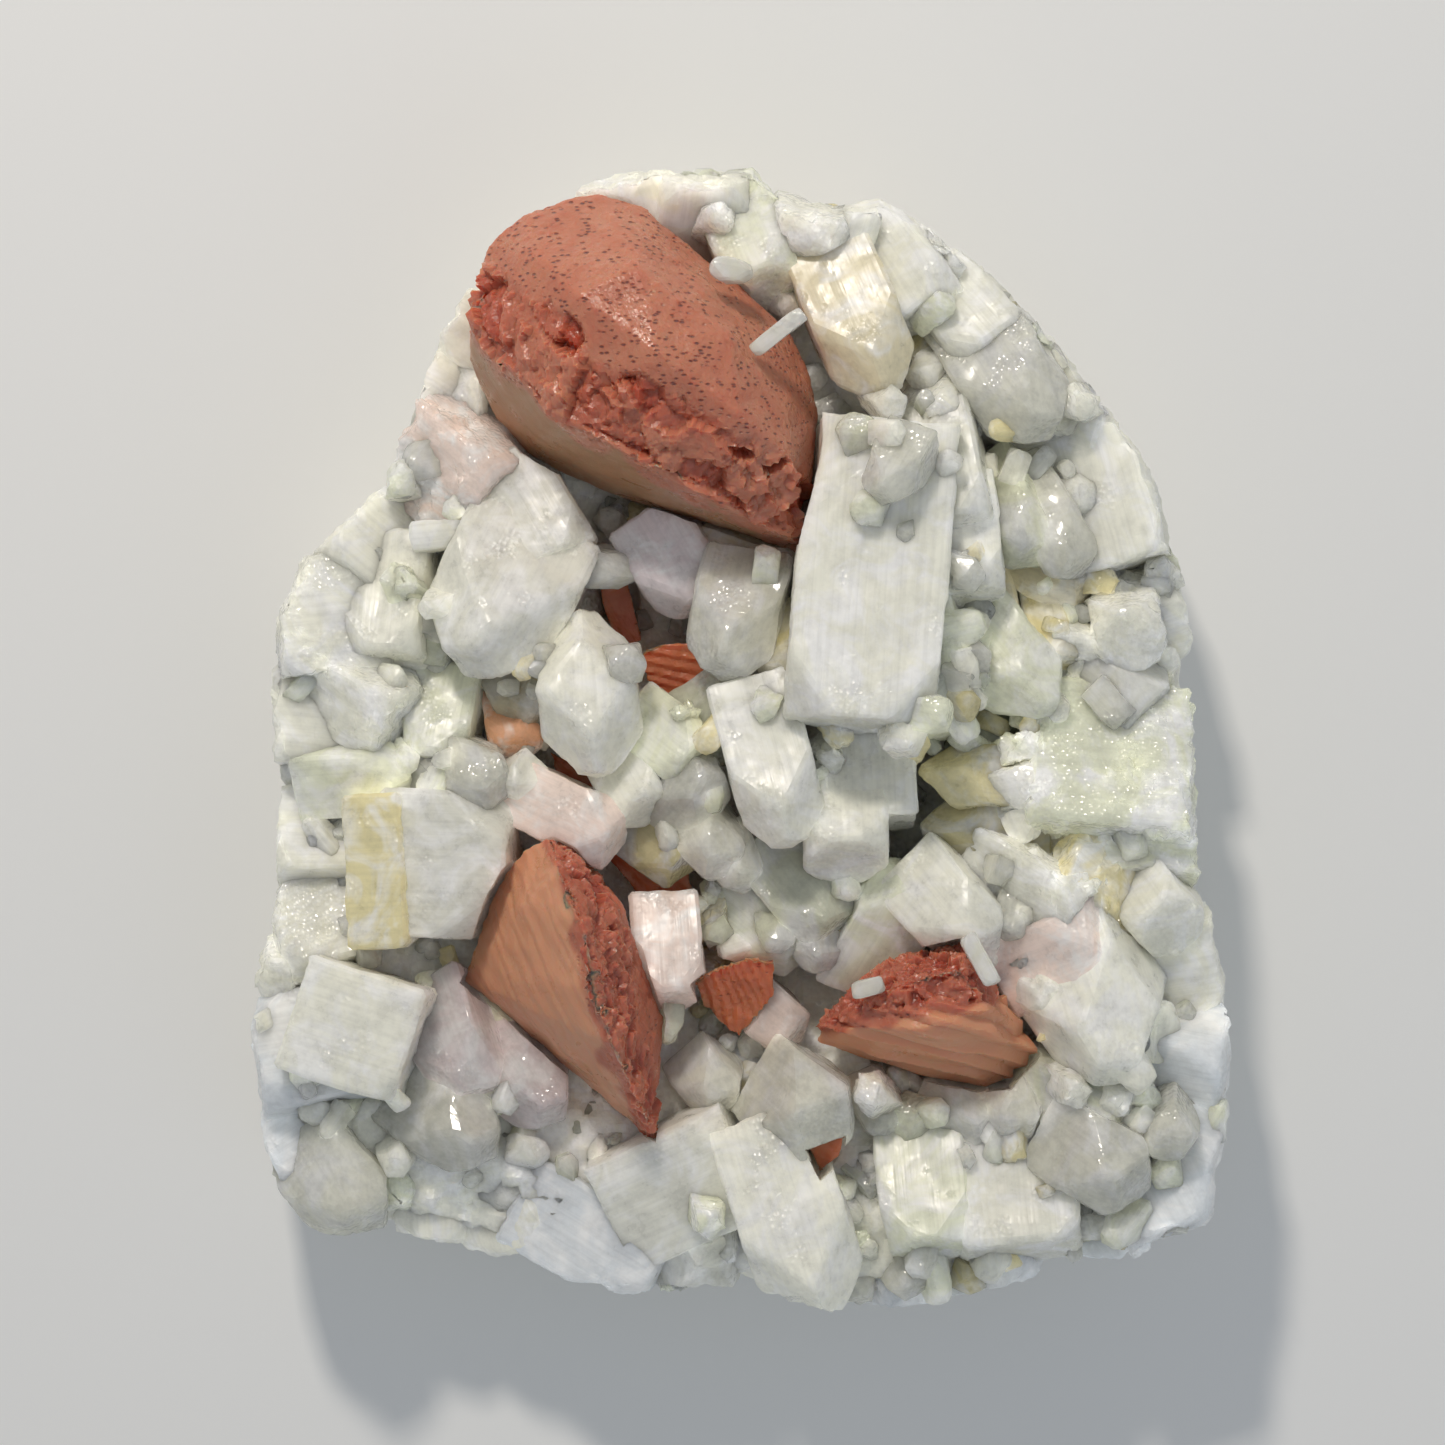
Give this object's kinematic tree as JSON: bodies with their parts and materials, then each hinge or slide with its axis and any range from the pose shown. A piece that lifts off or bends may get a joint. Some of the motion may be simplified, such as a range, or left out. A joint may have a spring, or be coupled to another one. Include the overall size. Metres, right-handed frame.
{
  "type": "heulandite specimen",
  "caption": "Mineral specimen: coral red heulandite crystals set in a plate of blocky, pale green and white apophyllite, flat at the back.",
  "frame": {"origin": "the middle of the flat back, on the surface that the specimen lies on", "axes": "+Z out of the crystal face, away from the flat back; +Y towards the end with the large coral crystal, along the specimen's length; +X to the right seen from the front"},
  "size_m": [0.1002, 0.1169, 0.0398],
  "materials": {
    "apophyllite": "translucent, pale green to white, glossy faces with frosted patches",
    "clear_apophyllite": "clear, glossy",
    "coral_heulandite": "translucent coral, pearly, pitted",
    "russet_heulandite": "translucent russet, pearly, finely ridged",
    "orange_heulandite": "translucent orange, pearly"
  },
  "bodies": {
    "root": {"apophyllite_plate": "apophyllite", "apophyllite_sliver_long": "clear_apophyllite", "apophyllite_sliver_short": "clear_apophyllite", "apophyllite_sliver_lower": "clear_apophyllite", "apophyllite_sliver_flat": "clear_apophyllite", "heulandite_large": "coral_heulandite", "heulandite_wedge": "russet_heulandite", "heulandite_lower_right": "russet_heulandite", "heulandite_fan": "orange_heulandite", "heulandite_pocket_stack": "orange_heulandite", "heulandite_pocket_column": "orange_heulandite", "heulandite_pocket_sheet": "orange_heulandite", "heulandite_chip": "orange_heulandite"}
  },
  "joints": []
}
